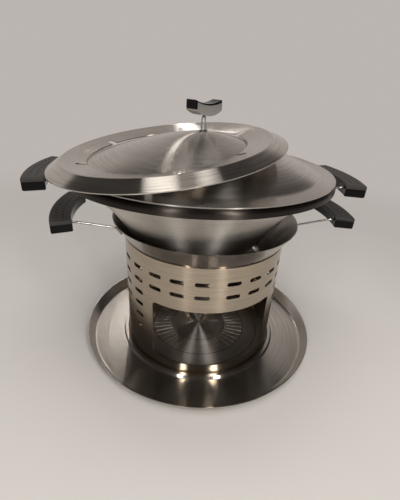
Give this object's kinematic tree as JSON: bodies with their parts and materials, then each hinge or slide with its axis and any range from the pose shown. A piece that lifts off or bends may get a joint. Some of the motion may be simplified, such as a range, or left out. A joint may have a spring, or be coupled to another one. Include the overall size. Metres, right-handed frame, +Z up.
{
  "type": "table-top warmer set",
  "caption": "Round steel food warmer: drip tray, slotted burner stand, two handled pans stacked, domed lid with a knob, and a notched fork ring lying askew on the lid.",
  "frame": {"origin": "on the table under the centre of the drip tray", "axes": "+Z up, -Y towards the stand's burner opening, the lower pan's handles along X"},
  "size_m": [0.38, 0.3126, 0.3049],
  "materials": {
    "brushed_steel": "spun and brushed stainless steel",
    "bright_wire": "bright steel wire",
    "grip_black": "black moulded phenolic, dimpled top",
    "knob_black": "black moulded phenolic",
    "foot_dark": "dark washers"
  },
  "bodies": {
    "tray": {"tray": "brushed_steel"},
    "stand": {"stand": "brushed_steel"},
    "lower_pan": {"lower_pan": "brushed_steel", "lower_left_wire": "bright_wire", "lower_right_wire": "bright_wire", "lower_left_grip_top": "grip_black", "lower_left_grip_base": "grip_black", "lower_right_grip_top": "grip_black", "lower_right_grip_base": "grip_black", "lower_grip_screws": "bright_wire"},
    "upper_pan": {"upper_pan": "brushed_steel", "upper_left_wire": "bright_wire", "upper_right_wire": "bright_wire", "upper_left_grip_top": "grip_black", "upper_left_grip_base": "grip_black", "upper_right_grip_top": "grip_black", "upper_right_grip_base": "grip_black", "upper_grip_screws": "bright_wire"},
    "lid": {"lid": "brushed_steel", "knob_wire": "bright_wire", "knob_saddle": "bright_wire", "knob_grip": "knob_black", "knob_feet": "foot_dark"},
    "fork_ring": {"fork_ring": "brushed_steel"}
  },
  "joints": [
    {"name": "stand_lift", "type": "slide", "parent": "tray", "child": "stand", "axis": [0, 0, 1], "range_m": [0, 0.03]},
    {"name": "lower_pan_lift", "type": "slide", "parent": "stand", "child": "lower_pan", "axis": [0, 0, 1], "range_m": [0, 0.045]},
    {"name": "upper_pan_lift", "type": "slide", "parent": "lower_pan", "child": "upper_pan", "axis": [0, 0, 1], "range_m": [0, 0.07]},
    {"name": "lid_lift", "type": "slide", "parent": "upper_pan", "child": "lid", "axis": [0, 0, 1], "range_m": [0, 0.04]},
    {"name": "fork_ring_lift", "type": "slide", "parent": "lid", "child": "fork_ring", "axis": [0, 0, 1], "range_m": [0, 0.08]}
  ]
}
